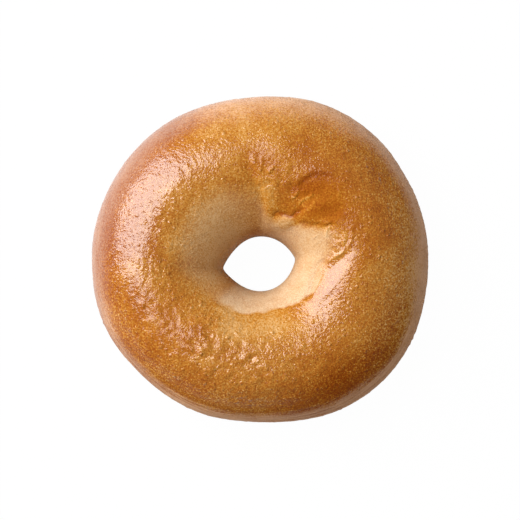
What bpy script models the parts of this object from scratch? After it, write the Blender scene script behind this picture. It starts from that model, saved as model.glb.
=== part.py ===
"""A plain bagel: one ring of boiled and baked dough that lies on its flat base.

Run it with: blender --background --python part.py
Units are metres, +Z is up. The origin is on the surface that the bagel lies on, under the middle of its box.
"""

import math

import bmesh
import bpy
from mathutils import Vector

MM = 0.001

# Driving dimensions of the ring.
OUTER_RADIUS = 55.0 * MM
HOLE_RADIUS = 8.5 * MM
HOLE_CENTRE = Vector((-0.3, -1.2)) * MM
CREST_HEIGHT = 37.0 * MM
WIDEST_HEIGHT = 16.0 * MM

# The mesh: a unit torus that is then shaped, with its tube one unit thick round a ring of two.
RING_STEPS = 96
SECTION_STEPS = 40
UNIT_RING = 2.0

# The outline strays from a circle in lobes: how many, by what share of the radius, and turned by how many degrees.
OUTLINE_LOBES = (
    (2, 0.014, -9.0),
    (3, 0.011, -52.0),
    (4, 0.008, -43.0),
    (6, 0.004, 9.0),
    (8, 0.002, 21.0),
    (9, 0.002, 8.0),
)

# The hole is drawn out to a soft corner on each side: direction in degrees, reach, and spread in degrees.
HOLE_CORNERS = ((187.0, 3.8 * MM, 29.0), (8.0, 2.8 * MM, 35.0))
CORNER_ROUNDING = 3.0

# The crest is uneven in height, and nearer the hole on one side than on the other.
CREST_LOBES = ((1, 0.014, 205.0), (2, 0.012, 60.0), (3, 0.010, 10.0))
CREST_LEAN = 0.04
CREST_LEAN_SWING = 0.09
CREST_LEAN_TURN = 175.0

# Below its widest level the section is squarer, and cut off flat where it sank onto the tray.
LOWER_SQUARENESS = 0.95
SINK_SHARE = 1.13

# The seam where the ends of the dough were joined: a crease across the ring, with its direction in degrees at
# the hole and at the rim, steeper on one side, and shallower by a share towards the rim.
SEAM_TURN_AT_HOLE = 88.0
SEAM_TURN_AT_RIM = 97.0
SEAM_DEPTH = 1.1 * MM
SEAM_STEEP_SIDE = 8.0
SEAM_GENTLE_SIDE = 22.0
SEAM_FADE = 0.85

# Shallow hollows and low swellings of the top: x, y, radius along and across, turn in degrees, and height.
SWELLINGS = (
    (14.5 * MM, 23.0 * MM, 8.0 * MM, 5.5 * MM, 20.0, -0.3 * MM),
    (27.5 * MM, -7.0 * MM, 12.0 * MM, 6.0 * MM, 55.0, 0.6 * MM),
    (-24.0 * MM, -26.0 * MM, 12.0 * MM, 8.0 * MM, 40.0, 0.2 * MM),
    (-5.0 * MM, -33.0 * MM, 10.0 * MM, 7.0 * MM, 0.0, -0.5 * MM),
)

CRUST_COLOUR = (0.50, 0.20, 0.04, 1.0)
CRUST_ROUGHNESS = 0.35


def lobed(lobes, angle):
    """One plus the sum of the lobes at this angle round the ring."""
    return 1.0 + sum(share * math.cos(count * (angle - math.radians(turn))) for count, share, turn in lobes)


def degrees_between(angle, turn):
    """The signed difference in degrees, from -180 to 180."""
    return (math.degrees(angle) - turn + 180.0) % 360.0 - 180.0


def hole_radius(angle):
    """The hole's radius about its own centre, with its two drawn-out corners."""
    radius = HOLE_RADIUS
    for turn, reach, spread in HOLE_CORNERS:
        away = math.hypot(degrees_between(angle, turn), CORNER_ROUNDING) - CORNER_ROUNDING
        radius += reach * math.exp(-away / spread)
    return radius


def crest_lean(angle):
    """How far the crest stands off the middle of the tube, as a share of its half width."""
    return CREST_LEAN + CREST_LEAN_SWING * math.cos(angle - math.radians(CREST_LEAN_TURN))


def section_point(angle, turn):
    """(across, height) of the section at this turn round the tube: across runs from -1 at the hole to 1."""
    rise = math.sin(turn)
    if rise >= 0.0:
        across = math.cos(turn) + crest_lean(angle) * rise * rise
        crest = CREST_HEIGHT * lobed(CREST_LOBES, angle)
        return across, WIDEST_HEIGHT + (crest - WIDEST_HEIGHT) * rise
    across = math.copysign(abs(math.cos(turn)) ** LOWER_SQUARENESS, math.cos(turn))
    sink = SINK_SHARE * abs(rise) ** LOWER_SQUARENESS
    return across, max(0.0, WIDEST_HEIGHT * (1.0 - sink))


def seam_depth(angle, across):
    """The crease of the seam, deepest on its line and steeper on its clockwise side."""
    share = 0.5 * (across + 1.0)
    line = SEAM_TURN_AT_HOLE + share * (SEAM_TURN_AT_RIM - SEAM_TURN_AT_HOLE)
    away = degrees_between(angle, line)
    spread = SEAM_GENTLE_SIDE if away > 0.0 else SEAM_STEEP_SIDE
    return SEAM_DEPTH * math.exp(-((away / spread) ** 2)) * (1.0 - SEAM_FADE * share)


def swelling_height(place):
    """The sum of the hollows and swellings at this place in plan."""
    height = 0.0
    for x, y, along, across, turn, rise in SWELLINGS:
        offset = place - Vector((x, y))
        cosine, sine = math.cos(math.radians(turn)), math.sin(math.radians(turn))
        u = (offset.x * cosine + offset.y * sine) / along
        v = (offset.y * cosine - offset.x * sine) / across
        height += rise * math.exp(-(u * u + v * v))
    return height


def ring_point(angle, turn):
    """The place on the bagel of one point of the unit torus."""
    outward = Vector((math.cos(angle), math.sin(angle)))
    outer = outward * OUTER_RADIUS * lobed(OUTLINE_LOBES, angle)
    inner = HOLE_CENTRE + outward * hole_radius(angle)
    across, height = section_point(angle, turn)
    place = (outer + inner) / 2.0 + (outer - inner) / 2.0 * across
    rise = max(0.0, math.sin(turn))
    relief = rise * (swelling_height(place) - seam_depth(angle, across))
    place += outward * math.cos(turn) * relief
    return Vector((place.x, place.y, height + rise * relief))


def unit_torus(mesh):
    """A round section spun once round the Z axis."""
    section = bmesh.ops.create_circle(mesh, segments=SECTION_STEPS, radius=1.0)["verts"]
    for vert in section:
        vert.co = Vector((UNIT_RING + vert.co.x, 0.0, vert.co.y))
    bmesh.ops.spin(
        mesh,
        geom=section + list(mesh.edges),
        cent=(0.0, 0.0, 0.0),
        axis=(0.0, 0.0, 1.0),
        angle=math.tau,
        steps=RING_STEPS,
        use_merge=True,
    )


def shape_ring(mesh):
    """Moves each point of the unit torus to its place on the bagel, and centres the bagel over the origin."""
    for vert in mesh.verts:
        angle = math.atan2(vert.co.y, vert.co.x)
        turn = math.atan2(vert.co.z, math.hypot(vert.co.x, vert.co.y) - UNIT_RING)
        vert.co = ring_point(angle, turn)
    middle = Vector((0.0, 0.0, 0.0))
    for axis in (0, 1):
        ends = [vert.co[axis] for vert in mesh.verts]
        middle[axis] = (min(ends) + max(ends)) / 2.0
    bmesh.ops.translate(mesh, verts=mesh.verts, vec=-middle)


def crust_material():
    """Golden brown crust with a boiled shine."""
    material = bpy.data.materials.new("crust")
    material.use_nodes = True
    shader = material.node_tree.nodes["Principled BSDF"]
    shader.inputs["Base Color"].default_value = CRUST_COLOUR
    shader.inputs["Roughness"].default_value = CRUST_ROUGHNESS
    shader.inputs["Metallic"].default_value = 0.0
    return material


def build_bagel():
    """The whole bagel, as one object."""
    mesh = bmesh.new()
    unit_torus(mesh)
    shape_ring(mesh)
    bmesh.ops.recalc_face_normals(mesh, faces=mesh.faces)
    data = bpy.data.meshes.new("bagel")
    mesh.to_mesh(data)
    mesh.free()
    data.shade_smooth()
    data.materials.append(crust_material())
    bagel = bpy.data.objects.new("bagel", data)
    bpy.context.scene.collection.objects.link(bagel)
    return bagel


def main():
    for leftover in list(bpy.data.objects):
        bpy.data.objects.remove(leftover)
    build_bagel()


main()
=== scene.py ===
"""The looks of a plain bagel: one glossy, pebbled ring of crust on a pale table under a soft window light.

The ring starts as a unit torus. Its large form follows the frame's solid, and its folds, hollows and pebbling
are worked into the mesh on top of that. Lengths are metres unless a name says otherwise.
"""

import logging
import math
from dataclasses import dataclass
from enum import Enum

import bmesh
import bpy
import numpy as np
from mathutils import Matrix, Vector
from numpy.typing import NDArray


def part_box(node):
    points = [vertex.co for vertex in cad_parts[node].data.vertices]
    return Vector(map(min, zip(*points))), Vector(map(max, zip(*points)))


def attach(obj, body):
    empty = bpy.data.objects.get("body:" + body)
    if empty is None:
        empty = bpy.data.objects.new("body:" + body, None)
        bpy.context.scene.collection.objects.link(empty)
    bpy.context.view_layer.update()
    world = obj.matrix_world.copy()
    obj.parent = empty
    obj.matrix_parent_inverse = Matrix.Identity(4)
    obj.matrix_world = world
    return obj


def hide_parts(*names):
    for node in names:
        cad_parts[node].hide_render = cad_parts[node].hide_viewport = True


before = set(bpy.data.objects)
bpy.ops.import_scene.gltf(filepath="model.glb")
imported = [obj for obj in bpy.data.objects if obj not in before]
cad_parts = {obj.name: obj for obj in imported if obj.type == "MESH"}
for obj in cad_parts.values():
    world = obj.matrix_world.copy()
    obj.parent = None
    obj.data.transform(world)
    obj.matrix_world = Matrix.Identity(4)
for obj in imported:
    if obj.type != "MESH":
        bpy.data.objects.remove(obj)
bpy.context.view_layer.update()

Array = NDArray[np.float64]
Pair = tuple[float, float]
Colour = tuple[float, float, float]
Knots = tuple[Pair, ...]
Tones = tuple[tuple[float, Colour], ...]
Socket = bpy.types.NodeSocket
Feed = Socket | float | tuple[float, ...]

MM = 0.001
NODE = "bagel"
BODY = "root"
UNIT: Pair = (0.0, 1.0)
SWING: Pair = (-1.0, 1.0)


class Mask(Enum):
    """The surface attributes that the crust's finish reads, each from 0 to 1."""

    PALE = "pale_wall"
    # How brown the crust is, with the shade and light painted into its colour.
    BROWNING_AND_PAINTED_LIGHT = "browning_and_painted_light"
    SHEEN = "sheen"
    PEBBLED = "pebbled"
    # The paler band round the rim: a painted reflection of the pale table.
    RIM = "painted_rim_reflection"
    LINED = "rim_lines"
    FRECKLED = "freckling"


class FoldKind(Enum):
    """What a fold does to the crust along its line."""

    RIDGE = "ridge"
    CREASE = "crease"
    LEDGE = "ledge"


RIDGE, CREASE, LEDGE = FoldKind


def smooth_step(low: float, high: float, values: Array) -> Array:
    """Eases from 0 to 1 between two limits.

    Args:
        low: The value at which the result leaves 0; it may be above high, for a falling ease.
        high: The value at which the result reaches 1.
        values: The values to ease.

    Returns:
        The eased values, from 0 to 1.
    """
    share = np.clip((values - low) / (high - low), 0.0, 1.0)
    return share * share * (3.0 - 2.0 * share)


def eased_round(angle: Array, knots: Knots) -> Array:
    """Reads a closed, smooth run of values round the ring.

    Args:
        angle: Directions round the ring, in radians.
        knots: Pairs of a direction in degrees and a value, in rising order of direction.

    Returns:
        The value at each direction, eased from knot to knot.
    """
    turns = np.degrees(angle) % 360.0
    last, first = knots[-1], knots[0]
    closed = ((last[0] - 360.0, last[1]), *knots, (first[0] + 360.0, first[1]))
    values = np.zeros_like(turns)
    for (start, low), (end, high) in zip(closed, closed[1:]):
        inside = (turns >= start) & (turns < end)
        share = smooth_step(start, end, turns[inside])
        values[inside] = low + (high - low) * share
    return values


def placed(name: str, data: bpy.types.ID) -> bpy.types.Object:
    """Makes an object of a mesh, a light or a camera, and links it to the scene.

    Args:
        name: The object's name.
        data: What it shows or does.

    Returns:
        The object.
    """
    piece = bpy.data.objects.new(name, data)
    bpy.context.scene.collection.objects.link(piece)
    return piece


@dataclass(frozen=True)
class Lumps:
    """Smooth gradient noise: lumps of one size and height, in a pattern that the seed settles."""

    seed: int
    size: float
    height: float = 1.0

    TABLE = 256

    def at(self, points: Array) -> Array:
        """Reads the noise.

        Args:
            points: One row of three coordinates for each point, in the size's unit.

        Returns:
            The noise at each point, mostly from -0.6 to 0.6 of the lumps' height.
        """
        draw = np.random.default_rng(self.seed)
        order = draw.permutation(self.TABLE)
        slopes = draw.normal(size=(self.TABLE, 3))
        slopes /= np.linalg.norm(slopes, axis=1)[:, None]
        scaled = points / self.size
        cell = np.floor(scaled).astype(int)
        inside = scaled - cell
        ease = inside**3 * (inside * (inside * 6.0 - 15.0) + 10.0)
        total = np.zeros(len(points))
        for corner in np.ndindex(2, 2, 2):
            x, y, z = ((cell + corner) % self.TABLE).T
            slope = slopes[order[(order[(order[x] + y) % self.TABLE] + z) % self.TABLE]]
            weight = np.where(corner, ease, 1.0 - ease).prod(axis=1)
            total += weight * ((inside - corner) * slope).sum(axis=1)
        return self.height * total


@dataclass(frozen=True)
class Lobe:
    """One wave round the ring: how many crests, by what share, and turned by how many degrees."""

    count: int
    share: float
    turn: float

    def at(self, angle: Array) -> Array:
        """The wave's share at these directions, in radians."""
        return self.share * np.cos(self.count * (angle - math.radians(self.turn)))


@dataclass(frozen=True)
class Spot:
    """A soft oval in plan, in millimetres and degrees: a hollow, a swelling, a stain or a smooth patch."""

    x: float
    y: float
    along: float
    across: float
    turn: float
    amount: float
    edge: float = 2.0

    def at(self, place: Array) -> Array:
        """Weighs each point by how far inside the oval it lies.

        Args:
            place: The points' coordinates, in metres.

        Returns:
            The spot's amount at each point, fading past its edge.
        """
        cosine, sine = math.cos(math.radians(self.turn)), math.sin(math.radians(self.turn))
        east, north = place[:, 0] / MM - self.x, place[:, 1] / MM - self.y
        u = (east * cosine + north * sine) / self.along
        v = (north * cosine - east * sine) / self.across
        return self.amount * np.exp(-np.power(u * u + v * v, self.edge / 2.0))


@dataclass(frozen=True)
class LumpPatch:
    """A stretch of crust with its own lumps or blotches: where and how strong, their size in mm, a seed."""

    spot: Spot
    size: float
    seed: int

    def at(self, place: Array) -> Array:
        """The lumps' height in millimetres, or the blotches' strength, at each point."""
        return self.spot.at(place) * Lumps(self.seed, self.size).at(place / MM)


def gathered(marks: tuple[Spot | Lumps | LumpPatch, ...], place: Array) -> Array:
    """Adds up what the spots, lumps or patches give at each point."""
    return sum(mark.at(place) for mark in marks)


@dataclass(frozen=True)
class Fold:
    """A fold of the crust along a smooth line in plan, in millimetres.

    A ledge stands proud on the left of its line, looking from its first point to its last. The painted
    shading is how much darker the crust's colour is along the line: painted shade in a crease or under a lip,
    and below 0 a painted highlight on a lit ridge.
    """

    kind: FoldKind
    points: tuple[Pair, ...]
    width: float
    height: float
    reach: float = 3.0
    # Painted shade along the line; below 0, a painted highlight along it.
    painted_shading: float = 0.0

    STEPS = 8

    def line(self) -> Array:
        """Runs a smooth curve through the fold's points.

        Returns:
            One row of x and y for each point along the curve, in millimetres.
        """
        ends = (self.points[0], *self.points, self.points[-1])
        rows = []
        for before, start, end, after in zip(ends, ends[1:], ends[2:], ends[3:]):
            a, b, c, d = (np.array(point) for point in (before, start, end, after))
            for step in range(self.STEPS):
                t = step / self.STEPS
                bend = 2 * a - 5 * b + 4 * c - d + t * (3 * b - a - 3 * c + d)
                rows.append(b + 0.5 * t * (c - a + t * bend))
        rows.append(np.array(self.points[-1]))
        return np.array(rows)

    def measured(self, place: Array) -> tuple[Array, Array, Array, Array]:
        """Finds the points near the fold, and where they lie along it.

        Args:
            place: The points' coordinates, in metres.

        Returns:
            The near points' numbers, their distances in millimetres, which side of the line they are on, and
            a fade at the ends.
        """
        line = self.line()
        plan = place[:, :2] / MM
        margin = 3.0 * max(self.width, self.reach if self.kind is LEDGE else self.width)
        low, high = line.min(axis=0) - margin, line.max(axis=0) + margin
        near = np.flatnonzero(((plan > low) & (plan < high)).all(axis=1))
        away = np.full(len(near), np.inf)
        side = np.ones(len(near))
        along = np.zeros(len(near))
        for index, (start, end) in enumerate(zip(line, line[1:])):
            run = end - start
            offset = plan[near] - start
            share = np.clip(offset @ run / (run @ run), 0.0, 1.0)
            distance = np.linalg.norm(offset - share[:, None] * run, axis=1)
            closer = distance < away
            away[closer] = distance[closer]
            side[closer] = np.sign(run[0] * offset[closer, 1] - run[1] * offset[closer, 0])
            along[closer] = (index + share[closer]) / (len(line) - 1)
        return near, away, side, smooth_step(0.0, 0.2, along) * smooth_step(1.0, 0.8, along)

    def at(self, place: Array) -> Array:
        """The height that the fold adds at each point, in metres."""
        near, away, side, fade = self.measured(place)
        return np.bincount(near, self.height * MM * fade * self.profile(away, side), len(place))

    def painted_shading_at(self, place: Array) -> Array:
        """How much darker the fold's painted shade makes the colour at each point; below 0 it is a painted
        highlight.
        """
        near, away, _, fade = self.measured(place)
        return np.bincount(near, self.painted_shading * fade * np.exp(-((0.7 * away / self.width) ** 2)), len(place))

    def profile(self, away: Array, side: Array) -> Array:
        """The fold's cross section.

        Args:
            away: The distance from the line, in millimetres.
            side: 1 on the left of the line and -1 on its right.

        Returns:
            The share of the fold's height at each point.
        """
        if self.kind is RIDGE:
            return np.exp(-((away / self.width) ** 2))
        if self.kind is CREASE:
            return -np.exp(-away / self.width)
        return 0.5 * np.tanh(side * away / self.width) * np.exp(-((away / self.reach) ** 2))


@dataclass(frozen=True)
class Facet:
    """A stretch of skin pulled flat: an oval in plan, with the way its plane faces.

    Millimetres and degrees; the plane leans by tilt towards the direction facing.
    """

    patch: Spot
    tilt: float
    facing: float
    lift: float

    def at(self, place: Array, upward: Array) -> Array:
        """Measures how far each point moves to lie on the plane.

        Args:
            place: The points' coordinates, in metres.
            upward: 1 on what faces up and 0 on what faces down, which stays where it is.

        Returns:
            The change in height at each point, in metres.
        """
        weight = self.patch.at(place) * upward
        east, north = place[:, 0] - self.patch.x * MM, place[:, 1] - self.patch.y * MM
        slope = math.tan(math.radians(self.tilt))
        facing = math.radians(self.facing)
        level = (place[:, 2] * weight).sum() / weight.sum() + self.lift * MM
        plane = level - slope * (east * math.cos(facing) + north * math.sin(facing))
        return weight * (plane - place[:, 2])


@dataclass(frozen=True)
class RingForm:
    """The bagel's large form: an uneven ring with a leaning crest, a joining seam and a flat base."""

    outer_radius: float = 55.0 * MM
    hole_radius: float = 8.5 * MM
    hole_centre: Pair = (-0.3 * MM, -1.2 * MM)
    crest_height: float = 37.0 * MM
    widest_height: float = 16.0 * MM
    outline: tuple[Lobe, ...] = (
        Lobe(2, 0.014, -9.0),
        Lobe(3, 0.011, -52.0),
        Lobe(4, 0.008, -43.0),
        Lobe(6, 0.004, 9.0),
        Lobe(8, 0.002, 21.0),
        Lobe(9, 0.002, 8.0),
    )
    hole_corners: tuple[tuple[float, float, float], ...] = (
        (187.0, 3.8 * MM, 29.0),
        (8.0, 2.8 * MM, 35.0),
    )
    corner_rounding: float = 3.0
    crest: tuple[Lobe, ...] = (Lobe(1, 0.014, 205.0), Lobe(2, 0.012, 60.0), Lobe(3, 0.010, 10.0))
    lean: float = 0.04
    lean_swing: Lobe = Lobe(1, 0.09, 175.0)
    lower_squareness: float = 0.95
    sink_share: float = 1.13
    sink_rounding: float = 0.6 * MM
    seam_turns: Pair = (88.0, 97.0)
    seam_depth: float = 1.1 * MM
    seam_spreads: Pair = (8.0, 22.0)
    seam_fade: float = 0.85
    swellings: tuple[Spot, ...] = (
        Spot(14.5, 23, 8, 5.5, 20, -0.3),
        Spot(27.5, -7, 12, 6, 55, 0.6),
        Spot(-24, -26, 12, 8, 40, 0.2),
        Spot(-5, -33, 10, 7, 0, -0.5),
    )

    def lobed(self, lobes: tuple[Lobe, ...], angle: Array) -> Array:
        """One plus the sum of the lobes at these directions."""
        return 1.0 + sum(lobe.at(angle) for lobe in lobes)

    def degrees_between(self, angle: Array, turn: Array) -> Array:
        """The signed difference in degrees, from -180 to 180."""
        return (np.degrees(angle) - turn + 180.0) % 360.0 - 180.0

    def hole_reach(self, angle: Array) -> Array:
        """Measures the hole's radius about its own centre, with its two drawn-out corners.

        Args:
            angle: Directions round the ring, in radians.

        Returns:
            The radius in each direction, in metres.
        """
        radius = np.full_like(angle, self.hole_radius)
        for turn, reach, spread in self.hole_corners:
            away = np.hypot(self.degrees_between(angle, turn), self.corner_rounding) - self.corner_rounding
            radius += reach * np.exp(-away / spread)
        return radius

    def section(self, angle: Array, turn: Array) -> tuple[Array, Array]:
        """Shapes the ring's cross section.

        Args:
            angle: Directions round the ring, in radians.
            turn: Directions round the tube, in radians, with 0 at the rim and a right angle at the crest.

        Returns:
            How far across each point lies, from -1 at the hole to 1 at the rim, and its height.
        """
        rise = np.sin(turn)
        lean = self.lean + self.lean_swing.at(angle)
        upper_across = np.cos(turn) + lean * rise * rise
        crest = self.crest_height * self.lobed(self.crest, angle)
        upper_height = self.widest_height + (crest - self.widest_height) * rise
        lower_across = np.copysign(np.abs(np.cos(turn)) ** self.lower_squareness, np.cos(turn))
        sink = self.sink_share * np.abs(rise) ** self.lower_squareness
        drop = self.widest_height * (1.0 - sink)
        lower_height = 0.5 * (drop + np.hypot(drop, self.sink_rounding)) - 0.5 * self.sink_rounding
        upper = rise >= 0.0
        across = np.where(upper, upper_across, lower_across)
        return across, np.where(upper, upper_height, np.maximum(lower_height, 0.0))

    def seam(self, angle: Array, across: Array) -> Array:
        """Sinks the joining crease, which is steeper on its clockwise side.

        Args:
            angle: Directions round the ring, in radians.
            across: How far across each point lies, from -1 at the hole to 1 at the rim.

        Returns:
            The depth at each point, in metres.
        """
        share = 0.5 * (across + 1.0)
        start, end = self.seam_turns
        away = self.degrees_between(angle, start + share * (end - start))
        steep, gentle = self.seam_spreads
        spread = np.where(away > 0.0, gentle, steep)
        return self.seam_depth * np.exp(-((away / spread) ** 2)) * (1.0 - self.seam_fade * share)

    def place(self, angle: Array, turn: Array) -> Array:
        """Places points of the unit torus on the bagel.

        Args:
            angle: Directions round the ring, in radians.
            turn: Directions round the tube, in radians.

        Returns:
            The points' coordinates, in metres.
        """
        outward = np.stack([np.cos(angle), np.sin(angle)], axis=1)
        outer = outward * (self.outer_radius * self.lobed(self.outline, angle))[:, None]
        inner = np.array(self.hole_centre) + outward * self.hole_reach(angle)[:, None]
        across, height = self.section(angle, turn)
        plan = (outer + inner) / 2.0 + (outer - inner) / 2.0 * across[:, None]
        rise = np.maximum(0.0, np.sin(turn))
        swelling = MM * gathered(self.swellings, plan)
        relief = rise * (swelling - self.seam(angle, across))
        plan = plan + outward * (np.cos(turn) * relief)[:, None]
        return np.column_stack([plan, height + rise * relief])


@dataclass
class Skin:
    """The ring's surface while it is worked: each point's place and its directions round ring and tube."""

    place: Array
    angle: Array
    turn: Array

    @property
    def upward(self) -> Array:
        """1 on what faces up, easing to 0 at the widest level."""
        return smooth_step(-0.05, 0.3, self.level)

    @property
    def level(self) -> Array:
        """How high round the tube each point is: -1 at the base, 0 at the widest level, 1 at the crest."""
        return np.sin(self.turn)

    @property
    def reach(self) -> Array:
        """Each point's distance from the upright axis, in metres."""
        return np.hypot(self.place[:, 0], self.place[:, 1])


@dataclass(frozen=True)
class Band:
    """A soft-edged band round the outside of the ring, from one level to another."""

    foot: float
    low: float
    high: float
    head: float

    def at(self, skin: Skin) -> Array:
        """Weighs each point: 1 from low to high, easing to 0 at the foot and the head, and 0 in the hole."""
        level = np.where(np.cos(skin.turn) > 0.0, skin.level, -np.inf)
        return smooth_step(self.foot, self.low, level) * smooth_step(self.head, self.high, level)


@dataclass(frozen=True)
class Rise:
    """An ease from a least share at the low limit to 1 at the high one, which may be the smaller number."""

    low: float
    high: float
    least: float = 0.0

    def at(self, values: Array) -> Array:
        """The share at each value."""
        return self.least + (1.0 - self.least) * smooth_step(self.low, self.high, values)


@dataclass(frozen=True)
class CrustRelief:
    """The folds, flats and lumps of the crust, in millimetres in plan."""

    folds: tuple[Fold, ...] = (
        # The hollow's upper lip, with painted shade along it, and the ridges that close it below, with
        # painted highlights along them.
        Fold(
            LEDGE, ((24.6, 25.6), (21.6, 27.2), (17.2, 27.2), (13.7, 25.3), (11.2, 22.6)), 0.5, -0.45, 2, 0.2
        ),
        Fold(RIDGE, ((12, 17.6), (14.2, 19), (17.2, 20.9)), 0.35, 0.3, painted_shading=-0.3),
        Fold(RIDGE, ((14.6, 15.4), (16.4, 16.8), (18.4, 19.4)), 0.35, 0.15, painted_shading=-0.15),
        # The lip over the small pale swelling, with painted shade along its crease.
        Fold(CREASE, ((3.4, 13.4), (6.3, 14.8), (10, 13.8), (12.2, 15.3), (14.2, 16.9)), 0.5, 0.6, 3, 0.35),
        # The edge where the browned crust stops over the pale wall, with painted shade along it.
        Fold(LEDGE, ((23.6, 12), (21.6, 11.2), (18.6, 11.4), (15, 11.9), (11.8, 12.4)), 0.35, -0.6, 2, 0.15),
        # Puckers beside that edge, three of them with painted highlights along their ridges.
        Fold(RIDGE, ((22.6, 11), (21.2, 8.6), (21, 6.6)), 0.4, 0.26, painted_shading=-0.3),
        Fold(RIDGE, ((26.2, 9.4), (27.4, 7.4), (27, 5.4), (26.4, 4.2)), 0.4, 0.26, painted_shading=-0.2),
        Fold(RIDGE, ((29, 11), (29.5, 8.4), (29.1, 6), (28.4, 3.8)), 0.42, 0.24),
        Fold(RIDGE, ((26.6, 2.4), (24.2, 0.8), (21.6, -0.8)), 0.42, 0.3, painted_shading=-0.2),
        Fold(RIDGE, ((18.6, 7.8), (17.2, 6.6)), 0.35, 0.2),
        # The joining seam beside the hole, proud on its right, and the short folds that lean on it, the last
        # with a painted highlight.
        Fold(
            LEDGE,
            ((2, 8.6), (1.6, 13.5), (1.3, 19), (0.6, 22.2), (-1, 26), (-2.4, 30.6), (-3.2, 35)),
            0.9,
            -0.7,
        ),
        Fold(RIDGE, ((2.6, 27.2), (3.4, 28.6), (4.6, 30)), 0.4, 0.35),
        Fold(RIDGE, ((-0.4, 27.4), (0.6, 30.6), (0.8, 33)), 0.4, 0.25),
        Fold(RIDGE, ((9.6, 19.4), (11.4, 20.2), (12.4, 22.4)), 0.4, 0.25, painted_shading=-0.2),
        # The groove between the pale wall and the flat shoulder, with painted shade along it.
        Fold(
            CREASE, ((21.6, 0.6), (18.6, -2.2), (17.2, -6.2), (16, -10.4), (14.6, -13.6)), 0.9, 0.8, 3, 0.15
        ),
        # The curled edge of the crust under the hole.
        Fold(LEDGE, ((-14.6, -13.8), (-10.4, -16.6), (-4.4, -17.9), (2, -17.6)), 0.35, -0.42, 1.4),
        Fold(LEDGE, ((1, -17.5), (5, -17.8), (9.4, -15.8), (14.4, -13.6)), 0.35, -0.42, 1.4),
    )
    facets: tuple[Facet, ...] = (
        Facet(Spot(20.4, 15.6, 6.5, 3, 8, 0.8, 4), 12, 265, 0.25),
        Facet(Spot(22.4, -6.8, 11, 2.5, 54, 0.95, 6), 23, 158, 0.15),
        Facet(Spot(17.2, -16.6, 1.7, 1.2, 70, 0.7, 4), 22, 152, 0.1),
        Facet(Spot(16.7, -19.8, 1.2, 0.8, 60, 0.7, 4), 22, 152, 0.1),
    )
    bumps: tuple[Spot, ...] = (
        Spot(7.6, 11.6, 3.1, 2.2, 15, 1, 3),
        Spot(-16.4, -24.6, 0.8, 0.7, 0, -0.45),
        Spot(-15.8, -35.6, 1.2, 0.8, 70, 0.3),
        Spot(-2.6, -32.2, 1.4, 0.8, 60, -0.35),
    )
    swells: Lumps = Lumps(3, 15.0, 0.35)
    fold_wobble: tuple[Lumps, Lumps] = (Lumps(31, 2.2, 0.7), Lumps(32, 2.2, 0.7))
    blisters: tuple[Lumps, ...] = (Lumps(11, 2.3), Lumps(5, 1.15, 0.5))
    blister_height: float = 0.09
    blister_extra: Spot = Spot(-14.0, -30.0, 26.0, 13.0, -25.0, 0.09)
    lump_patches: tuple[LumpPatch, ...] = (
        LumpPatch(Spot(-13, -30, 30, 13, -22, 0.42), 2, 13),
        LumpPatch(Spot(-13, -30, 30, 13, -22, 0.25), 4.2, 15),
        LumpPatch(Spot(-36, -16, 12, 9, 65, 0.36), 1.9, 17),
        LumpPatch(Spot(6, 24, 10, 8, 0, 0.36), 1.9, 19),
        LumpPatch(Spot(24.2, 5.2, 4.2, 6.2, 10, 0.42), 1.5, 29),
        LumpPatch(Spot(-30, -2, 10, 5, 80, 0.38), 1.6, 21),
        LumpPatch(Spot(-42, -14, 13, 7, 70, 0.36), 1.6, 37),
    )
    pebbles: Lumps = Lumps(23, 1.3, 0.16)
    pebble_sink: float = 0.032
    wrinkle_size: Pair = (3.4, 1.0)
    wrinkles: tuple[Lumps, ...] = (Lumps(41, 1.0, 0.3), Lumps(8, 0.5, 0.15))
    wrinkle_patch: Spot = Spot(-31.0, 16.0, 22.0, 13.0, 62.0, 1.0)
    edge_band: Band = Band(-0.7, -0.3, 0.3, 0.7)
    edge_grain: Lumps = Lumps(27, 1.3)
    edge_height: float = 0.16
    crumb_start: float = 0.40
    crumb_height: float = 0.8
    # The lumps fade out over the last two millimetres above the table.
    table_gap: Rise = Rise(0.0, 2.0)

    def folded(self, skin: Skin) -> Array:
        """Raises and lowers the top by its folds, bumps and flats.

        Args:
            skin: The surface before it is folded.

        Returns:
            The change in height at each point, in metres.
        """
        place = skin.place.copy()
        bent = skin.place.copy()
        for axis, wobble in enumerate(self.fold_wobble):
            bent[:, axis] += MM * wobble.at(skin.place / MM)
        for fold in self.folds:
            place[:, 2] += fold.at(bent) * skin.upward
        for bump in self.bumps:
            place[:, 2] += MM * bump.at(skin.place) * skin.upward
        for facet in self.facets:
            place[:, 2] += facet.at(place, skin.upward)
        return place[:, 2] - skin.place[:, 2]

    def fold_shading(self, skin: Skin) -> Array:
        """How much darker the folds' painted shade leaves each point's colour, lighter where they paint a
        highlight.
        """
        return sum(fold.painted_shading_at(skin.place) for fold in self.folds if fold.painted_shading) * skin.upward

    def lumps(self, skin: Skin, pebbled: Array) -> Array:
        """Gathers the swells, blisters, pebbles and wrinkles that cover the crust, down to the table.

        Args:
            skin: The folded surface.
            pebbled: How rough the skin is at each point, from 0 to 1.

        Returns:
            How far each point moves outwards, in metres.
        """
        place = skin.place / MM
        blisters = gathered(self.blisters, place) * (self.blister_height + self.blister_extra.at(skin.place))
        pebbles = np.abs(self.pebbles.at(place)) - self.pebble_sink
        rough = pebbled * (blisters + gathered(self.lump_patches, skin.place) + pebbles)
        lumps = self.swells.at(place) + rough + self.wrinkled(skin) + self.crumbs(skin)
        return MM * lumps * self.table_gap.at(place[:, 2])

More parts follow.
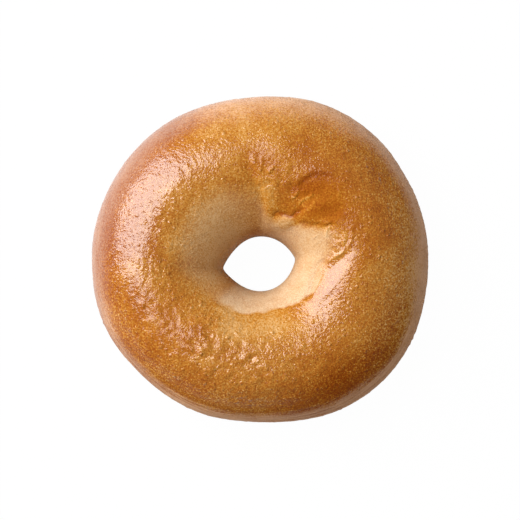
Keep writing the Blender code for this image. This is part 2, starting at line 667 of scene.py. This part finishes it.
    def crumbs(self, skin: Skin) -> Array:
        """Roughens the rim a little, with a crumb here and there.

        Args:
            skin: The ring's surface.

        Returns:
            How far each point moves outwards, in millimetres.
        """
        grain = self.edge_grain.at(skin.place / MM)
        height = self.edge_height * grain + self.crumb_height * np.maximum(0.0, grain - self.crumb_start)
        return self.edge_band.at(skin) * height

    def wrinkled(self, skin: Skin) -> Array:
        """Draws fine wrinkles that run from the hole to the rim over one side of the crest.

        Args:
            skin: The ring's surface.

        Returns:
            How far each point moves outwards, in millimetres.
        """
        long, short = self.wrinkle_size
        patch = self.wrinkle_patch
        middle = math.atan2(patch.y, patch.x)
        ring = ((skin.angle - middle + math.pi) % math.tau - math.pi) * math.hypot(patch.x, patch.y)
        grid = np.column_stack([skin.reach / MM / long, ring / short, np.zeros_like(ring)])
        return gathered(self.wrinkles, grid) * patch.at(skin.place) * skin.upward


@dataclass(frozen=True)
class CrustTones:
    """Where the crust is pale, browned or matt, and where shade and light are painted into its colour, in
    millimetres in plan and degrees round the ring.
    """

    wall_edge: Knots = (
        (0, 20.6), (15, 22.6), (22, 24), (32, 20), (40, 17.6), (59, 12.4), (78, 13.4), (100, 21.5),
        (120, 24), (150, 25), (180, 25), (205, 20), (224, 18.8), (240, 18.2), (270, 17.3), (292, 17),
        (312, 18.4), (335, 20.6),
    )
    wall_strength: Knots = (
        (0, 0.85), (30, 0.7), (60, 0.66), (82, 0.42), (98, 0.18), (120, 0.3), (190, 0.3),
        (212, 0.28), (228, 0.95), (240, 1), (330, 1),
    )
    wall_softness: Knots = (
        (0, 5), (15, 9), (32, 4), (60, 1.5), (80, 4), (96, 8), (120, 10), (200, 8), (228, 2.4), (250, 0.8),
        (300, 0.8), (340, 1.2),
    )
    # From here to rim_strength: where the painted reflection of the pale table round the rim starts, how
    # softly, and how strongly.
    rim_start: Knots = (
        (0, 0.8), (24, 0.66), (40, 0.62), (60, 0.82), (90, 0.94), (120, 0.88), (150, 0.88), (180, 0.8),
        (215, 0.66), (240, 0.66), (270, 0.62), (300, 0.64), (325, 0.59), (340, 0.62),
    )
    rim_softness: Knots = (
        (0, 0.44), (24, 0.28), (40, 0.22), (60, 0.42), (90, 0.6), (120, 0.4), (150, 0.32), (180, 0.28),
        (215, 0.22), (240, 0.2), (325, 0.2), (340, 0.24),
    )
    rim_strength: Knots = (
        (0, 0.9), (40, 0.9), (60, 0.8), (90, 0.66), (120, 0.62), (150, 0.72), (180, 0.72), (215, 0.66),
        (240, 0.95), (270, 1), (330, 1),
    )
    rim_lines: Knots = (
        (0, 0.2), (90, 0.1), (150, 0.2), (190, 0.5), (222, 1), (285, 1), (315, 0.9), (340, 0.4),
    )
    shoulder_dulling: Knots = (
        (0, 0.9), (60, 0.85), (100, 0.4), (150, 0.3), (190, 0.45), (212, 0.8), (230, 1), (330, 1),
    )
    shoulder_freckling: Knots = (
        (0, 0.3), (45, 0.3), (90, 0), (135, 0.2), (180, 0.45), (225, 0.6), (270, 0.4), (315, 0.9),
    )
    # Spots of browning; the ones marked below are painted shade and light.
    browning_with_painted_light: tuple[Spot, ...] = (
        Spot(-19, 38.5, 12, 4.5, 27, -0.12),
        # The darker band on the lower right, the side away from the softbox: painted shade.
        Spot(24.5, -41, 17, 5.5, 31, 0.42),
        Spot(-24, 12, 20, 10, 70, -0.16),
        Spot(20, 28, 20, 10, -45, 0.12),
        # Darker on the crest where the softbox lights it most: painted shade that tones its light down.
        Spot(-36.5, 17, 25, 9, 63, 0.21),
        # Lighter on the right rim, which lies in shade: painted fill light.
        Spot(48, -10, 25, 9, 78, -0.17),
        # This and the next two: darker round the rim that faces the softbox, painted shade that tones its
        # light down.
        Spot(-53, 8, 32, 6.5, 82, 0.42),
        Spot(-32, 42, 20, 6.5, 36, 0.4),
        Spot(-46, 27, 15, 6, 62, 0.32),
        Spot(-43, -29, 16, 6, -50, 0.2),
        Spot(-31, -22, 16, 12, -57, 0.1),
        # Browner in the hollow: partly a darker crust, partly painted shade in the recess.
        Spot(15.6, 22.8, 6, 3.6, 14, 0.38),
        Spot(19, 14.6, 8, 4, -5, 0.22),
        Spot(31, 8, 18, 8, 90, 0.05),
        Spot(4, 45, 20, 8, -6, -0.17),
        # This and the next two: lighter on the shaded left wall of the hole, painted fill light.
        Spot(-15, 3, 8, 15, 0, -0.25),
        Spot(-9.5, 4.5, 3.5, 10, 150, -0.3),
        Spot(-8, 16, 12, 6, 25, -0.12),
        Spot(-11, -19, 6, 4.5, -35, -0.22),
        Spot(0, -21.5, 15, 4, 5, -0.26),
        Spot(0, -31, 16, 5, 0, -0.08),
        Spot(7.6, 11.6, 3.2, 2.3, 15, -0.2, 4),
        Spot(17, 3, 6, 9, 0, -0.25),
        Spot(3.6, 16, 2.6, 6, 0, -0.18),
    )
    smooth_patches: tuple[Spot, ...] = (
        Spot(-33, 16, 22, 10, 63, 0.42),
        Spot(22.4, -6.8, 11.2, 2.6, 54, 1, 6),
        Spot(17.2, -16.6, 1.9, 1.4, 70, 0.9, 4),
        Spot(-9, 20, 12, 8, 60, 0.5),
        Spot(19, 14, 9, 5, 20, 0.5),
    )
    dull_patches: tuple[Spot, ...] = (
        Spot(26, -40, 23, 9, 34, 0.97),
        Spot(19, 19.6, 10.5, 8.5, 0, 1, 4),
        Spot(26, 10.5, 8, 7, 10, 0.7),
        Spot(31, -3, 10, 3, 60, 0.5),
        Spot(3, 31, 13, 8, 0, 0.62),
        Spot(-31, -21, 14, 9, -57, 0.5),
        Spot(12, -22, 8, 6, 20, 0.4),
    )
    freckled: tuple[LumpPatch, ...] = (
        LumpPatch(Spot(45, -20.5, 6, 4, 65, 1.3), 1.5, 33),
        LumpPatch(Spot(38, -31, 10, 4.5, 45, 0.9), 1.4, 35),
    )
    mottles: tuple[Lumps, ...] = (Lumps(71, 9.0, 0.22), Lumps(72, 3.5, 0.12))
    pale_spot: Spot = Spot(7.6, 11.6, 3.2, 2.3, 15.0, 0.26, 4.0)
    usual_browning: float = 0.43
    base_browning: float = 0.70
    wall_ragged: Lumps = Lumps(61, 2.2, 0.9)
    wall_mottle: Lumps = Lumps(63, 3.0, 0.35)
    wall_level: float = 0.92
    wall_foot: Rise = Rise(-0.97, -0.6)
    rim_ragged: tuple[Lumps, ...] = (Lumps(67, 9.0, 0.07), Lumps(69, 2.2, 0.03))
    rim_mottle: Lumps = Lumps(65, 4.0, 0.5)
    rim_level: float = 0.95
    rim_foot: Rise = Rise(-0.3, 0.12, 0.05)
    rim_underside: Rise = Rise(-0.9, -0.6)
    base_foot: Rise = Rise(-0.6, -0.95)
    upper_foot: Rise = Rise(-0.5, -0.1)
    base_band: Band = Band(-2.0, -1.5, -0.5, 0.2)
    line_band: Band = Band(0.0, 0.3, 0.56, 0.72)
    freckle_band: Band = Band(-0.1, 0.3, 0.82, 0.97)
    dull_band: Band = Band(-0.6, -0.1, 0.64, 0.87)
    drawn_band: Band = Band(-2.0, -1.5, 0.45, 0.75)
    hole_sheen: Rise = Rise(15.0, 25.0, 0.25)
    base_sheen: Rise = Rise(-0.95, -0.6, 0.2)
    hole_pebbles: Rise = Rise(12.0, 26.0, 0.3)
    pale_dulling: float = 0.9
    pale_smoothing: float = 0.8
    rim_smoothing: float = 0.4

    def pale(self, skin: Skin) -> Array:
        """Weighs the unbrowned wall of the hole.

        Args:
            skin: The ring's surface.

        Returns:
            How pale each point is, from 0 to 1.
        """
        place = skin.place / MM
        depth = eased_round(skin.angle, self.wall_edge) - skin.reach / MM + self.wall_ragged.at(place)
        depth = depth / eased_round(skin.angle, self.wall_softness)
        wall = smooth_step(-0.5, 0.5, depth) * self.wall_foot.at(skin.level)
        wall = wall * (self.wall_level + self.wall_mottle.at(place))
        wall = np.maximum(wall * eased_round(skin.angle, self.wall_strength), self.pale_spot.at(skin.place))
        return np.clip(wall, 0.0, 1.0)

    def rim(self, skin: Skin) -> Array:
        """Weighs the paler band round the rim, a painted reflection of the pale table, on a duller shoulder.

        Args:
            skin: The ring's surface.

        Returns:
            How strongly the painted reflection shows at each point, from 0 to 1.
        """
        place = skin.place / MM
        level = skin.level + gathered(self.rim_ragged, place)
        share = (eased_round(skin.angle, self.rim_start) - level) / eased_round(skin.angle, self.rim_softness)
        band = smooth_step(0.0, 1.0, share) * self.rim_foot.at(level) * self.rim_underside.at(level)
        band = band * (self.rim_level + self.rim_mottle.at(place)) * (np.cos(skin.turn) > 0.0)
        return np.clip(band * eased_round(skin.angle, self.rim_strength), 0.0, 1.0)

    def lined(self, skin: Skin) -> Array:
        """Weighs the level lines round the rim, from 0 to 1."""
        return self.line_band.at(skin) * eased_round(skin.angle, self.rim_lines)

    def freckling(self, skin: Skin) -> Array:
        """Weighs how strongly the shoulder is freckled, from 0 to 1."""
        return self.freckle_band.at(skin) * eased_round(skin.angle, self.shoulder_freckling)

    def browning_and_painted_light(self, skin: Skin, fold_shading: Array) -> Array:
        """Weighs how brown the crust has baked, together with the shade and light painted into its colour.

        Args:
            skin: The ring's surface.
            fold_shading: How much darker the folds' painted shade leaves each point's colour, lighter where
                they paint a highlight.

        Returns:
            How brown each point is, with its painted shade and light, from 0 to 1.
        """
        spots = gathered(self.browning_with_painted_light, skin.place) * self.upper_foot.at(skin.level)
        tone = self.usual_browning + fold_shading + spots + gathered(self.mottles, skin.place / MM)
        tone = tone + np.maximum(0.0, gathered(self.freckled, skin.place))
        below = np.maximum(self.base_band.at(skin), self.base_foot.at(skin.level))
        return np.clip(tone + (self.base_browning - tone) * below, 0.0, 1.0)

    def sheen(self, skin: Skin, pale: Array) -> Array:
        """Weighs the gloss: the hole's wall, the rim's shoulder and the base are duller.

        Args:
            skin: The ring's surface.
            pale: How pale each point is.

        Returns:
            How glossy each point is, from 0 to 1.
        """
        under = self.hole_sheen.at(skin.reach / MM) * self.base_sheen.at(skin.level)
        side = 1.0 - self.dull_band.at(skin) * eased_round(skin.angle, self.shoulder_dulling)
        patches = 1.0 - np.clip(gathered(self.dull_patches, skin.place), 0.0, 1.0)
        return np.clip((1.0 - self.pale_dulling * pale) * under * side * patches, 0.0, 1.0)

    def pebbled(self, skin: Skin, pale: Array) -> Array:
        """Weighs the pebbling: the hole's wall, the rim, the base and the flats are smoother.

        Args:
            skin: The ring's surface.
            pale: How pale each point is.

        Returns:
            How rough each point is, from 0 to 1.
        """
        rim = 1.0 - self.rim_smoothing * self.drawn_band.at(skin)
        patches = 1.0 - np.clip(gathered(self.smooth_patches, skin.place), 0.0, 1.0)
        rough = (1.0 - self.pale_smoothing * pale) * self.hole_pebbles.at(skin.reach / MM)
        return np.clip(rough * rim * patches, 0.0, 1.0)


@dataclass(frozen=True)
class Wiring:
    """The nodes of a material or of the room, and the steps that its looks are wired up from."""

    tree: bpy.types.NodeTree

    def node(self, kind: str, feeds: dict[str | int, Feed], **options: str) -> bpy.types.Node:
        """Adds a node.

        Args:
            kind: The node's type.
            feeds: What each input gets: another node's output, or a constant.
            options: The node's own settings.

        Returns:
            The node.
        """
        node = self.tree.nodes.new(kind)
        for name, value in options.items():
            setattr(node, name, value)
        self.feed(node, feeds)
        return node

    def feed(self, node: bpy.types.Node, feeds: dict[str | int, Feed]) -> None:
        """Links or sets the inputs of a node.

        Args:
            node: The node.
            feeds: What each input gets: another node's output, or a constant.
        """
        for name, feed in feeds.items():
            if isinstance(feed, Socket):
                self.tree.links.new(feed, node.inputs[name])
            else:
                node.inputs[name].default_value = feed

    def summed(self, first: Feed, *others: Feed) -> Socket:
        """Adds up values.

        Args:
            first: The value to start from.
            others: The values to add to it, one after another.

        Returns:
            The sum.
        """
        for other in others:
            first = self.node("ShaderNodeMath", {0: first, 1: other}, operation="ADD").outputs["Value"]
        return first

    def multiplied(self, first: Feed, second: Feed) -> Socket:
        """Multiplies two values."""
        return self.node("ShaderNodeMath", {0: first, 1: second}, operation="MULTIPLY").outputs["Value"]

    def vector(self, operation: str, *feeds: Feed) -> Socket:
        """Works out a vector from others."""
        node = self.node("ShaderNodeVectorMath", dict(enumerate(feeds)), operation=operation)
        return node.outputs["Vector"]

    def mask(self, mask: Mask) -> Socket:
        """Reads one of the piece's masks."""
        return self.node("ShaderNodeAttribute", {}, attribute_name=mask.value).outputs["Fac"]

    def noise(self, place: Socket, scale: float, detail: float, rough: float) -> Socket:
        """Adds a noise: how many lumps fit in a metre, how many finer layers it has, and their strength."""
        feeds = {"Vector": place, "Scale": scale, "Detail": detail, "Roughness": rough}
        return self.node("ShaderNodeTexNoise", feeds).outputs["Fac"]

    def ranged(self, value: Socket, before: Pair, after: Pair, easing: str = "LINEAR") -> Socket:
        """Maps a value from one range to another."""
        feeds = dict(zip(("Value", "From Min", "From Max", "To Min", "To Max"), (value, *before, *after)))
        return self.node("ShaderNodeMapRange", feeds, interpolation_type=easing).outputs["Result"]

    def seen(self, share: float, under: Socket, over: Socket) -> Socket:
        """Lays one shader over another by this share, for what the camera sees directly."""
        feeds = {"Fac": self.multiplied(self.node("ShaderNodeLightPath", {}).outputs["Is Camera Ray"], share)}
        return self.node("ShaderNodeMixShader", {**feeds, 1: under, 2: over}).outputs["Shader"]

    def toned(self, value: Socket, tones: Tones) -> Socket:
        """Turns a value into a colour.

        Args:
            value: The value, from 0 to 1.
            tones: Pairs of a value and its colour, in rising order of value.

        Returns:
            The colour.
        """
        ramp = self.node("ShaderNodeValToRGB", {"Fac": value})
        stops = ramp.color_ramp.elements
        while len(stops) < len(tones):
            stops.new(0.5)
        for stop, (position, colour) in zip(stops, tones):
            stop.position = position
            stop.color = (*colour, 1.0)
        return ramp.outputs["Color"]

    def blended(self, share: Socket, under: Socket, over: Socket) -> Socket:
        """Lays one colour over another, by how much of the upper one shows."""
        feeds = {"Factor": share, "A": under, "B": over}
        return self.node("ShaderNodeMix", feeds, data_type="RGBA").outputs["Result"]


@dataclass(frozen=True)
class Domes:
    """Tiny blisters of uneven height, which catch the light.

    The scale is how many fit in a metre, and the spread is how far each reaches, as a share of its cell. Each
    draws a number from 0 to 1, and the range drawn becomes the range of heights.
    """

    scale: float
    drawn: Pair
    heights: Pair
    spread: float = 0.62

    def wired(self, wiring: Wiring, place: Socket) -> Socket:
        """Scatters the blisters.

        Args:
            wiring: The material's nodes.
            place: The coordinates that they follow.

        Returns:
            The blisters' height.
        """
        cells = wiring.node("ShaderNodeTexVoronoi", {"Vector": place, "Scale": self.scale})
        dome = wiring.ranged(cells.outputs["Distance"], (0.0, self.spread), (1.0, 0.0), "SMOOTHSTEP")
        draw = wiring.node("ShaderNodeSeparateColor", {"Color": cells.outputs["Color"]}).outputs["Red"]
        return wiring.multiplied(dome, wiring.ranged(draw, self.drawn, self.heights))


@dataclass(frozen=True)
class Patterns:
    """The patterns that the crust's colour follows: its coordinates, freckles, grain with painted shade in
    its pits, painted glints and lines.
    """

    place: Socket
    freckles: Socket
    grain: Socket
    painted_glints: Socket
    lines: Socket


@dataclass(frozen=True)
class CrustFinish:
    """Boiled and baked crust: golden brown with a pebbled gloss, over a pale matt wall."""

    tones: Tones = (
        (0.0, (0.60, 0.34, 0.125)),
        (0.3, (0.47, 0.197, 0.024)),
        (0.55, (0.35, 0.106, 0.006)),
        (1.0, (0.225, 0.043, 0.002)),
    )
    wall_tones: Tones = ((0.3, (0.65, 0.46, 0.28)), (0.7, (0.59, 0.40, 0.24)))
    # The painted reflection of the pale table round the rim, from the least browned crust to the most.
    rim_tones: Tones = (
        (0.20, (0.66, 0.368, 0.198)),
        (0.50, (0.58, 0.315, 0.172)),
        (0.80, (0.37, 0.178, 0.098)),
    )
    noise_range: Pair = (0.3, 0.7)
    roughnesses: Pair = (0.62, 0.40)
    uneven_roughness: float = 0.05
    specular_level: float = 0.04
    coat_roughness: float = 0.16
    coat_ior: float = 1.60
    grain_scale: float = 1700.0
    pebbles: Domes = Domes(1300.0, UNIT, (0.3, 1.0))
    blisters: Domes = Domes(700.0, (0.6, 1.0), (0.0, 2.3))
    # This and the next line: pale specks in the colour, painted glints.
    painted_glints: Domes = Domes(1400.0, (0.62, 1.0), UNIT)
    glint_tones: Pair = (0.04, -0.22)
    freckle_scale: float = 2400.0
    freckle_share: float = 0.18
    freckle_boosts: Pair = (1.0, 2.3)
    wall_speckles: Pair = (1.15, 0.6)
    line_scales: tuple[float, float, float] = (48.0, 48.0, 860.0)
    line_range: Pair = (0.35, 0.65)
    line_share: float = 0.18
    line_break: float = 0.6
    rim_scale: float = 1500.0
    rim_break: float = 1.8
    rim_grain: float = 0.13
    warp: float = 0.5 * MM
    relief_height: float = 0.09 * MM
    relief_strengths: Pair = (0.2, 1.0)

    def build(self) -> bpy.types.Material:
        """Makes the crust's material.

        Returns:
            The material, which reads the piece's own masks and Object coordinates.
        """
        material = bpy.data.materials.new("crust_finish")
        material.use_nodes = True
        wiring = Wiring(material.node_tree)
        place = wiring.node("ShaderNodeTexCoord", {}).outputs["Object"]
        grain = wiring.noise(place, self.grain_scale, 2.0, 0.5)
        freckles = wiring.noise(place, self.freckle_scale, 2.0, 0.6)
        feeds = {"Vector": place, "Scale": self.grain_scale, "Detail": 1.0}
        bend = wiring.node("ShaderNodeTexNoise", feeds).outputs["Color"]
        warped = wiring.vector("MULTIPLY_ADD", bend, (self.warp, self.warp, self.warp), place)
        lines = self.lines(wiring, place)
        painted_glints = self.painted_glints.wired(wiring, warped)
        pebbles, blisters = self.pebbles.wired(wiring, warped), self.blisters.wired(wiring, warped)
        normal = self.bump(wiring, wiring.summed(grain, pebbles, blisters, lines))
        feeds = {
            "Base Color": self.colour(wiring, Patterns(place, freckles, grain, painted_glints, lines)),
            "Roughness": self.roughness(wiring, grain),
            "Normal": normal,
            "Coat Normal": normal,
            "Coat Weight": wiring.mask(Mask.SHEEN),
            "Coat Roughness": self.coat_roughness,
            "Coat IOR": self.coat_ior,
            "Specular IOR Level": self.specular_level,
        }
        wiring.feed(material.node_tree.nodes["Principled BSDF"], feeds)
        return material

    def lines(self, wiring: Wiring, place: Socket) -> Socket:
        """Draws fine level lines round the rim, from -1 to 1, and 0 where there are none."""
        lines = wiring.noise(wiring.vector("MULTIPLY", place, self.line_scales), 1.0, 3.0, 0.6)
        return wiring.multiplied(wiring.mask(Mask.LINED), wiring.ranged(lines, self.line_range, SWING))

    def swung(self, wiring: Wiring, noise: Socket, share: float) -> Socket:
        """Spreads a noise from minus this share to the share, or the other way for a share below 0."""
        return wiring.ranged(noise, self.noise_range, (-share, share))

    def colour(self, wiring: Wiring, patterns: Patterns) -> Socket:
        """Colours the crust by its browning and painted light, with painted shade in its pits and painted
        glints, paler in the hole, and with a painted reflection of the pale table round the rim.

        Args:
            wiring: The material's nodes.
            patterns: The patterns that the colour follows.

        Returns:
            The colour.
        """
        freckles = self.swung(wiring, patterns.freckles, self.freckle_share)
        # Darker where the grain is low: painted shade in its pits.
        painted_pit_shade = self.swung(wiring, patterns.grain, -self.freckle_share)
        painted_glints = wiring.ranged(patterns.painted_glints, UNIT, self.glint_tones)
        boost = wiring.ranged(wiring.mask(Mask.FRECKLED), UNIT, self.freckle_boosts)
        spots = wiring.multiplied(wiring.summed(freckles, painted_pit_shade, painted_glints), boost)
        lined = wiring.ranged(patterns.lines, SWING, (self.line_share, -self.line_share))
        # How brown the crust is, with its painted shade and light.
        browning_with_painted_light = wiring.mask(Mask.BROWNING_AND_PAINTED_LIGHT)
        crust = wiring.toned(wiring.summed(browning_with_painted_light, spots, lined), self.tones)
        # The painted reflection of the pale table round the rim, laid over the crust.
        grained = wiring.summed(browning_with_painted_light, self.swung(wiring, patterns.freckles, self.rim_grain))
        rim = wiring.toned(grained, self.rim_tones)
        rimmed = wiring.blended(self.grained_rim(wiring, patterns), crust, rim)
        speckled = wiring.ranged(patterns.freckles, self.noise_range, self.wall_speckles)
        pale = wiring.multiplied(wiring.mask(Mask.PALE), speckled)
        return wiring.blended(pale, rimmed, wiring.toned(patterns.freckles, self.wall_tones))

    def grained_rim(self, wiring: Wiring, patterns: Patterns) -> Socket:
        """Breaks the rim's painted reflection up into grains and lines, most where it meets the browned
        crust.

        Args:
            wiring: The material's nodes.
            patterns: The patterns that the rim follows.

        Returns:
            How much of the rim's colour shows.
        """
        band = wiring.mask(Mask.RIM)
        between = wiring.multiplied(band, wiring.ranged(band, UNIT, (1.0, 0.0)))
        grains = self.swung(wiring, wiring.noise(patterns.place, self.rim_scale, 2.0, 0.6), self.rim_break)
        streaks = wiring.ranged(patterns.lines, SWING, (-self.line_break, self.line_break))
        return wiring.summed(band, wiring.multiplied(band, streaks), wiring.multiplied(between, grains))

    def roughness(self, wiring: Wiring, grain: Socket) -> Socket:
        """Makes the crust glossy where its sheen is high, and a little uneven all over."""
        gloss = wiring.ranged(wiring.mask(Mask.SHEEN), UNIT, self.roughnesses)
        return wiring.summed(gloss, self.swung(wiring, grain, self.uneven_roughness))

    def bump(self, wiring: Wiring, height: Socket) -> Socket:
        """Turns the finest relief into bumps, weaker where the crust is smooth.

        Args:
            wiring: The material's nodes.
            height: The relief, as a share of its full height.

        Returns:
            The bumped direction that the crust faces.
        """
        strength = wiring.ranged(wiring.mask(Mask.PEBBLED), UNIT, self.relief_strengths)
        feeds = {"Distance": self.relief_height, "Strength": strength, "Height": height}
        return wiring.node("ShaderNodeBump", feeds).outputs["Normal"]


@dataclass
class CrustRing:
    """The bagel itself: one closed ring, finely meshed on top, where its folds are."""

    form: RingForm
    relief: CrustRelief
    tones: CrustTones
    finish: CrustFinish
    ring_steps: int = 57
    section_steps: int = 27
    cuts: int = 7
    unit_ring: float = 2.0
    ring_crowding: float = 0.30
    crowded_side: float = 20.0
    section_crowding: float = 0.42

    def build(self, box: tuple[Vector, Vector]) -> bpy.types.Object:
        """Makes the whole ring and dresses it.

        Args:
            box: The lowest and highest corner that the ring's large form fills.

        Returns:
            The ring, linked to the scene.
        """
        mesh = bmesh.new()
        self.spin_torus(mesh)
        skin = self.shape(mesh, box)
        pale = self.tones.pale(skin)
        masks = {
            Mask.PALE: pale,
            Mask.BROWNING_AND_PAINTED_LIGHT: self.tones.browning_and_painted_light(skin, self.relief.fold_shading(skin)),
            Mask.SHEEN: self.tones.sheen(skin, pale),
            Mask.PEBBLED: self.tones.pebbled(skin, pale),
            Mask.RIM: self.tones.rim(skin),
            Mask.LINED: self.tones.lined(skin),
            Mask.FRECKLED: self.tones.freckling(skin),
        }
        skin.place[:, 2] += self.relief.folded(skin)
        self.write(mesh, skin)
        normals = np.array([vert.normal for vert in mesh.verts])
        skin.place += normals * self.relief.lumps(skin, masks[Mask.PEBBLED])[:, None]
        self.write(mesh, skin)
        data = bpy.data.meshes.new("crust_ring")
        mesh.to_mesh(data)
        mesh.free()
        data.shade_smooth()
        for mask, values in masks.items():
            layer = data.attributes.new(mask.value, "FLOAT", "POINT")
            layer.data.foreach_set("value", values.astype(np.float32))
        data.materials.append(self.finish.build())
        return placed("crust_ring", data)

    def spin_torus(self, mesh: bmesh.types.BMesh) -> None:
        """Spins a round section once round the Z axis, and cuts each face into a fine grid.

        Args:
            mesh: The empty mesh that gets the unit torus.
        """
        section = bmesh.ops.create_circle(mesh, segments=self.section_steps, radius=1.0)["verts"]
        for vert in section:
            vert.co = Vector((self.unit_ring + vert.co.x, 0.0, vert.co.y))
        bmesh.ops.spin(
            mesh,
            geom=section + list(mesh.edges),
            cent=(0.0, 0.0, 0.0),
            axis=(0.0, 0.0, 1.0),
            angle=math.tau,
            steps=self.ring_steps,
            use_merge=True,
        )
        bmesh.ops.subdivide_edges(mesh, edges=mesh.edges, cuts=self.cuts, use_grid_fill=True)

    def shape(self, mesh: bmesh.types.BMesh, box: tuple[Vector, Vector]) -> Skin:
        """Gives the unit torus the bagel's large form, over the middle of the box.

        Args:
            mesh: The unit torus.
            box: The lowest and highest corner that the form fills.

        Returns:
            The surface, ready for its relief.
        """
        unit = np.array([vert.co for vert in mesh.verts])
        ring = np.arctan2(unit[:, 1], unit[:, 0])
        tube = np.arctan2(unit[:, 2], np.hypot(unit[:, 0], unit[:, 1]) - self.unit_ring)
        angle = ring - self.ring_crowding * np.sin(ring - math.radians(self.crowded_side))
        turn = tube + self.section_crowding * np.cos(tube)
        place = self.form.place(angle, turn)
        low, high = (np.array(corner) for corner in box)
        middle = (place.min(axis=0) + place.max(axis=0)) / 2.0
        place[:, :2] += ((low + high) / 2.0 - middle)[:2]
        place[:, 2] += low[2]
        skin = Skin(place, angle, turn)
        self.write(mesh, skin)
        bmesh.ops.recalc_face_normals(mesh, faces=mesh.faces)
        return skin

    def write(self, mesh: bmesh.types.BMesh, skin: Skin) -> None:
        """Moves the mesh's points to the skin's places, and brings its normals up to date.

        Args:
            mesh: The ring's mesh.
            skin: The surface, with a place for each of the mesh's points.
        """
        for vert, place in zip(mesh.verts, skin.place):
            vert.co = place
        mesh.normal_update()


@dataclass
class Table:
    """A plain pale table top that looks nearly as bright in shade as in the light."""

    half_side: float = 2.5
    colour: Colour = (0.82, 0.82, 0.82)
    even_share: float = 0.985
    even_colour: Colour = (1.0, 1.0, 1.0)

    def build(self, level: float) -> bpy.types.Object:
        """Makes the table top.

        Args:
            level: The height that the bagel stands on.

        Returns:
            The table top, linked to the scene.
        """
        mesh = bmesh.new()
        bmesh.ops.create_grid(mesh, x_segments=1, y_segments=1, size=self.half_side)
        bmesh.ops.translate(mesh, verts=mesh.verts, vec=(0.0, 0.0, level))
        data = bpy.data.meshes.new("table_top")
        mesh.to_mesh(data)
        mesh.free()
        data.materials.append(self.material())
        return placed("table_top", data)

    def material(self) -> bpy.types.Material:
        """Makes the table's material: matt white, with its shade lifted in what is seen directly.

        Returns:
            The material.
        """
        material = bpy.data.materials.new("table_finish")
        material.use_nodes = True
        material.node_tree.nodes.clear()
        wiring = Wiring(material.node_tree)
        matt = wiring.node("ShaderNodeBsdfDiffuse", {"Color": (*self.colour, 1.0)}).outputs["BSDF"]
        even = wiring.node("ShaderNodeEmission", {"Color": (*self.even_colour, 1.0)}).outputs["Emission"]
        wiring.node("ShaderNodeOutputMaterial", {"Surface": wiring.seen(self.even_share, matt, even)})
        return material


@dataclass
class Studio:
    """The soft light of the set: one window-like softbox, an even room, and a pale backdrop.

    The softbox hangs at its distance in the direction of its turn and lift, in degrees.
    """

    key_turn: float = 152.0
    key_lift: float = 45.0
    key_distance: float = 1.5
    key_sides: Pair = (1.0, 2.02)
    key_power: float = 51.5
    room: Colour = (0.188, 0.182, 0.177)
    backdrop: Colour = (1.0, 1.0, 1.0)

    def build(self, target: Vector) -> None:
        """Hangs the softbox, and lights the room.

        Args:
            target: The point that the softbox faces.
        """
        key = bpy.data.lights.new("key_light", "AREA")
        key.shape = "RECTANGLE"
        key.size, key.size_y = self.key_sides
        key.energy = self.key_power
        turn, lift = math.radians(self.key_turn), math.radians(self.key_lift)
        way = Vector((math.cos(turn) * math.cos(lift), math.sin(turn) * math.cos(lift), math.sin(lift)))
        softbox = placed("key_light", key)
        softbox.location = target + way * self.key_distance
        softbox.rotation_euler = way.to_track_quat("Z", "Y").to_euler()
        world = bpy.data.worlds.new("room")
        world.use_nodes = True
        world.node_tree.nodes.clear()
        wiring = Wiring(world.node_tree)
        room, backdrop = (
            wiring.node("ShaderNodeBackground", {"Color": (*colour, 1.0)}).outputs["Background"]
            for colour in (self.room, self.backdrop)
        )
        wiring.node("ShaderNodeOutputWorld", {"Surface": wiring.seen(1.0, room, backdrop)})
        bpy.context.scene.world = world
        bpy.context.scene.view_settings.view_transform = "Standard"


@dataclass
class OverheadCamera:
    """A camera straight above the bagel, which fills about two thirds of the picture."""

    lens: float = 150.0
    sensor: float = 36.0
    fill: float = 0.646
    aim_offset: Pair = (0.0, -0.30 * MM)
    level_share: float = 0.42

    def build(self, box: tuple[Vector, Vector]) -> None:
        """Hangs the camera.

        Args:
            box: The bagel's lowest and highest corner.
        """
        low, high = box
        data = bpy.data.cameras.new("overhead_camera")
        data.lens, data.sensor_width = self.lens, self.sensor
        camera = placed("overhead_camera", data)
        field = (high.x - low.x) / self.fill
        distance = field * self.lens / self.sensor
        level = low.z + self.level_share * (high.z - low.z)
        middle = (low + high) / 2.0
        camera.location = (middle.x + self.aim_offset[0], middle.y + self.aim_offset[1], level + distance)
        bpy.context.scene.camera = camera


def main() -> None:
    """Builds the bagel, the table, the light and the camera, and reports the ring and the table."""
    logging.basicConfig(level=logging.INFO, format="%(message)s")
    log = logging.getLogger("bagel")
    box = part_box(NODE)
    ring = CrustRing(RingForm(), CrustRelief(), CrustTones(), CrustFinish()).build(box)
    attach(ring, BODY)
    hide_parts(NODE)
    log.info("%s: %d faces", ring.name, len(ring.data.polygons))
    low, high = (Vector(corner) for corner in box)
    table = Table().build(low.z)
    log.info("%s: level %.4f m", table.name, low.z)
    Studio().build((low + high) / 2.0)
    OverheadCamera().build((low, high))


if __name__ == "__main__":
    main()
